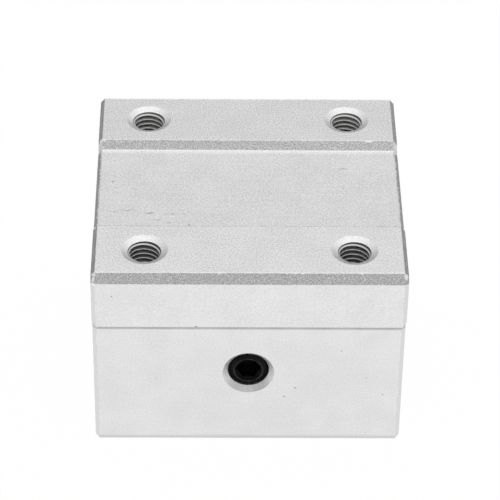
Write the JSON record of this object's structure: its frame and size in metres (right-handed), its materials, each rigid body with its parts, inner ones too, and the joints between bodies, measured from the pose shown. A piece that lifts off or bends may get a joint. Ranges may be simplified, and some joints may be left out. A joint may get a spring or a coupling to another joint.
{
  "type": "open-type linear bearing block",
  "caption": "Square aluminium bearing block that slides along a rail-supported shaft on an open recirculating ball bushing, with tapped holes on top for a table.",
  "frame": {"origin": "on the shaft axis, at the middle of the block's length", "axes": "+X along the shaft, +Z towards the mounting face, -Y towards the side with the set screw"},
  "size_m": [0.045, 0.045, 0.033],
  "materials": {
    "anodised_aluminium": "bead blasted and clear anodised, with cut chamfers",
    "black_oxide_steel": "black oxide, slightly oily",
    "bearing_steel": "ground bearing steel",
    "cage_resin": "moulded resin",
    "ball_steel": "polished bearing steel",
    "seal_rubber": "moulded nitrile rubber",
    "spring_steel": "phosphated spring steel"
  },
  "bodies": {
    "block": {"housing": "anodised_aluminium", "bearing_sleeve": "bearing_steel", "ball_retainer": "cage_resin", "end_seal_left": "seal_rubber", "end_seal_right": "seal_rubber", "stop_ring_left": "spring_steel", "stop_ring_right": "spring_steel", "retaining_ring_left": "spring_steel", "retaining_ring_right": "spring_steel", "ball_rear_01": "ball_steel", "ball_rear_02": "ball_steel", "ball_rear_03": "ball_steel", "ball_rear_04": "ball_steel", "ball_rear_05": "ball_steel", "ball_rear_06": "ball_steel", "ball_rear_07": "ball_steel", "ball_rear_08": "ball_steel", "ball_rear_09": "ball_steel", "ball_rear_10": "ball_steel", "ball_rear_11": "ball_steel", "ball_rear_12": "ball_steel", "ball_rear_13": "ball_steel", "ball_rear_14": "ball_steel", "ball_rear_15": "ball_steel", "ball_top_01": "ball_steel", "ball_top_02": "ball_steel", "ball_top_03": "ball_steel", "ball_top_04": "ball_steel", "ball_top_05": "ball_steel", "ball_top_06": "ball_steel", "ball_top_07": "ball_steel", "ball_top_08": "ball_steel", "ball_top_09": "ball_steel", "ball_top_10": "ball_steel", "ball_top_11": "ball_steel", "ball_top_12": "ball_steel", "ball_top_13": "ball_steel", "ball_top_14": "ball_steel", "ball_top_15": "ball_steel", "ball_front_01": "ball_steel", "ball_front_02": "ball_steel", "ball_front_03": "ball_steel", "ball_front_04": "ball_steel", "ball_front_05": "ball_steel", "ball_front_06": "ball_steel", "ball_front_07": "ball_steel", "ball_front_08": "ball_steel", "ball_front_09": "ball_steel", "ball_front_10": "ball_steel", "ball_front_11": "ball_steel", "ball_front_12": "ball_steel", "ball_front_13": "ball_steel", "ball_front_14": "ball_steel", "ball_front_15": "ball_steel"},
    "adjuster": {"set_screw": "black_oxide_steel"}
  },
  "joints": [
    {"name": "screw_turn", "type": "hinge", "parent": "block", "child": "adjuster", "pos_m": [0, -0.0174, 0.0012], "axis": [0, -1, 0], "range_deg": [0, 270]}
  ]
}
